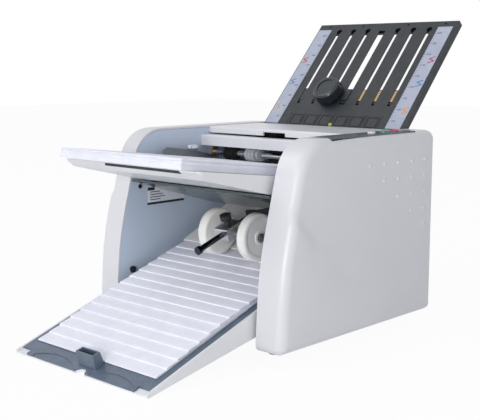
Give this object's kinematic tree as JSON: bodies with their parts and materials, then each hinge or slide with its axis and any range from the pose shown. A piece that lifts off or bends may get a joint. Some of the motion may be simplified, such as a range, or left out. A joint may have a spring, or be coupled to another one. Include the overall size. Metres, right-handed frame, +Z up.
{
  "type": "paper folding machine",
  "caption": "Desk paper folding machine with infeed table, roller folder, slotted fold plate with stop and knob, hinged top cover, sloping exit tray and stacking wheels.",
  "frame": {"origin": "middle of the machine's overall box, on the table it stands on", "axes": "+X to the operator's right, +Y to the back, +Z up; the exit tray is at the front"},
  "size_m": [0.328, 0.584, 0.3975],
  "materials": {
    "housing_white": "moulded, satin-gloss",
    "cover_white": "satin-gloss",
    "plate_blue_grey": "fine powder coat",
    "steel_bright": "polished",
    "steel_dark": "black coat",
    "roller_steel": "ground",
    "bronze": "sintered",
    "black_plastic": "fine grain",
    "plate_anthracite": "satin",
    "scale_pale": "printed film",
    "tray_dark": "fine grain",
    "tray_pale": "fine grain",
    "smoked": "tinted clear",
    "wheel_ivory": "smooth",
    "roller_grey": "soft",
    "black_rubber": "soft",
    "gear_nylon": "moulded",
    "sheet_paper": "plain",
    "board_green": "lacquered",
    "button_white": "gloss",
    "button_green": "gloss",
    "button_red": "gloss",
    "panel_dark": "film",
    "pad_cork": "friction pad"
  },
  "bodies": {
    "frame": {"left_housing": "housing_white", "right_housing": "housing_white", "left_side_plate": "plate_blue_grey", "right_side_plate": "plate_blue_grey", "base_plate": "plate_blue_grey", "rubber_feet": "black_rubber", "rear_cover": "cover_white", "tie_rods": "steel_bright", "front_cross_cover": "cover_white", "ribbed_guide": "black_plastic", "exit_guide": "smoked", "exit_chute": "plate_blue_grey", "infeed_table": "cover_white", "infeed_paper": "sheet_paper", "separator_pad": "pad_cork", "bearing_bushes": "bronze", "motor": "roller_steel", "drive_belt": "black_rubber", "feed_belt": "black_rubber", "circuit_board": "board_green", "button_board": "board_green", "power_inlet": "black_plastic", "control_panel": "panel_dark", "tray_frame": "tray_pale", "tray_deck": "tray_dark", "tray_stop": "tray_dark", "folded_sheets": "sheet_paper", "wheel_rail": "steel_bright", "rail_bracket": "steel_dark", "fold_plate_front": "plate_anthracite", "fold_plate_back": "plate_anthracite", "scale_strips": "scale_pale", "lower_fold_plate": "plate_blue_grey", "frame_screws": "roller_steel", "cover_hinge_pin": "steel_bright"},
    "cover": {"top_cover": "cover_white"},
    "white_key": {"white_button": "button_white"},
    "green_key": {"green_button": "button_green"},
    "red_key": {"red_button": "button_red"},
    "rocker": {"power_rocker": "black_plastic"},
    "feed": {"feed_shaft": "steel_bright", "feed_wheel": "roller_grey", "feed_tyre": "black_rubber"},
    "roller_1": {"fold_roller_1": "roller_steel", "roller_gears_1": "gear_nylon"},
    "roller_2": {"fold_roller_2": "roller_steel", "drive_gear": "gear_nylon"},
    "roller_3": {"fold_roller_3": "roller_steel", "roller_gears_3": "gear_nylon"},
    "roller_4": {"fold_roller_4": "roller_steel", "roller_gears_4": "gear_nylon"},
    "motor_rotor": {"motor_pulley": "roller_steel"},
    "guide_left": {"left_guide": "roller_steel"},
    "guide_right": {"right_guide": "roller_steel"},
    "carriage": {"wheel_clamp": "roller_steel"},
    "clamp_knob": {"clamp_screw": "black_plastic"},
    "wheel_left": {"left_wheel": "wheel_ivory"},
    "wheel_right": {"right_wheel": "wheel_ivory"},
    "stop": {"paper_stop": "plate_anthracite"},
    "knob": {"stop_knob": "plate_anthracite"}
  },
  "joints": [
    {"name": "cover_hinge", "type": "hinge", "parent": "frame", "child": "cover", "pos_m": [0, 0.13604, 0.247], "axis": [-1, 0, 0], "range_deg": [0, 70]},
    {"name": "white_press", "type": "slide", "parent": "frame", "child": "white_key", "axis": [0, 0, -1], "range_m": [0, 0.0012], "stiffness_N_per_m": 300},
    {"name": "green_press", "type": "slide", "parent": "frame", "child": "green_key", "axis": [0, 0, -1], "range_m": [0, 0.0012], "stiffness_N_per_m": 300},
    {"name": "red_press", "type": "slide", "parent": "frame", "child": "red_key", "axis": [0, 0, -1], "range_m": [0, 0.0012], "stiffness_N_per_m": 300},
    {"name": "rocker_tilt", "type": "hinge", "parent": "frame", "child": "rocker", "pos_m": [-0.064, 0.16604, 0.06], "axis": [-1, 0, 0], "range_deg": [0, 14]},
    {"name": "drive_spin", "type": "hinge", "parent": "frame", "child": "roller_2", "pos_m": [0, 0.09524, 0.1797], "axis": [1, 0, 0], "continuous": true},
    {"name": "roller_1_spin", "type": "hinge", "parent": "frame", "child": "roller_1", "pos_m": [0, 0.08485, 0.20827], "axis": [1, 0, 0], "continuous": true},
    {"name": "roller_3_spin", "type": "hinge", "parent": "frame", "child": "roller_3", "pos_m": [0, 0.12553, 0.18235], "axis": [1, 0, 0], "continuous": true},
    {"name": "roller_4_spin", "type": "hinge", "parent": "frame", "child": "roller_4", "pos_m": [0, 0.10564, 0.15113], "axis": [1, 0, 0], "continuous": true},
    {"name": "feed_spin", "type": "hinge", "parent": "frame", "child": "feed", "pos_m": [0, 0.04804, 0.21674], "axis": [1, 0, 0], "continuous": true},
    {"name": "motor_spin", "type": "hinge", "parent": "frame", "child": "motor_rotor", "pos_m": [0.1, 0.05804, 0.072], "axis": [1, 0, 0], "continuous": true},
    {"name": "left_guide_slide", "type": "slide", "parent": "frame", "child": "guide_left", "axis": [-1, 0, 0], "range_m": [0, 0.005]},
    {"name": "right_guide_slide", "type": "slide", "parent": "frame", "child": "guide_right", "axis": [1, 0, 0], "range_m": [0, 0.005]},
    {"name": "carriage_slide", "type": "slide", "parent": "frame", "child": "carriage", "axis": [0, -0.946, -0.324], "range_m": [0, 0.028]},
    {"name": "clamp_turn", "type": "hinge", "parent": "carriage", "child": "clamp_knob", "pos_m": [0.012, -0.05936, 0.12372], "axis": [0, -0.324, 0.946], "range_deg": [-180, 180]},
    {"name": "left_wheel_spin", "type": "hinge", "parent": "carriage", "child": "wheel_left", "pos_m": [-0.0212, -0.04895, 0.12728], "axis": [1, 0, 0], "continuous": true},
    {"name": "right_wheel_spin", "type": "hinge", "parent": "carriage", "child": "wheel_right", "pos_m": [0.0452, -0.04895, 0.12728], "axis": [1, 0, 0], "continuous": true},
    {"name": "stop_slide", "type": "slide", "parent": "frame", "child": "stop", "axis": [0, 0.6775, 0.7355], "range_m": [0, 0.105]},
    {"name": "knob_turn", "type": "hinge", "parent": "stop", "child": "knob", "pos_m": [-0.0265, 0.18903, 0.29332], "axis": [0, -0.7355, 0.6775], "range_deg": [-150, 150]}
  ],
  "couplings": [
    {"joint": "roller_1_spin", "follows": "drive_spin", "ratio": -1},
    {"joint": "roller_3_spin", "follows": "drive_spin", "ratio": -1},
    {"joint": "roller_4_spin", "follows": "drive_spin", "ratio": -1},
    {"joint": "feed_spin", "follows": "drive_spin", "ratio": -1},
    {"joint": "motor_spin", "follows": "drive_spin", "ratio": 2.5263}
  ]
}
